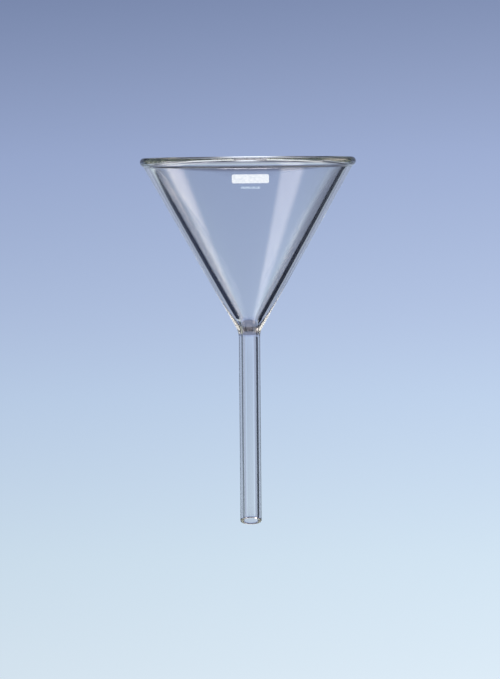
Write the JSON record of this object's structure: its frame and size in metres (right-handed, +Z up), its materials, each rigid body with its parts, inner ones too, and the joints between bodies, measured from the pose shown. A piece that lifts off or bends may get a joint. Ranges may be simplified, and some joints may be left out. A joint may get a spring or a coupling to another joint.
{
  "type": "filter funnel",
  "caption": "Clear glass filter funnel: open cone with a rolled rim bead, straight fused stem, tip ground at a slant, white enamel mark on the front.",
  "frame": {"origin": "on the axis, in the plane where a 60 mm support ring meets the cone's outside", "axes": "+Z up along the axis, from the stem to the rim; -Y is the front, with the enamel mark and the slanted tip face; +X is to the right seen from the front"},
  "size_m": [0.1, 0.1, 0.1722],
  "materials": {
    "glass": "clear borosilicate glass, fire-polished, with a faint blue-green edge colour",
    "enamel": "thin white fired enamel, half-gloss, slightly uneven"
  },
  "bodies": {
    "root": {"rim_bead": "glass", "cone_wall": "glass", "throat_seal": "glass", "stem_tube": "glass", "enamel_panel": "enamel", "enamel_bar": "enamel"}
  },
  "joints": []
}
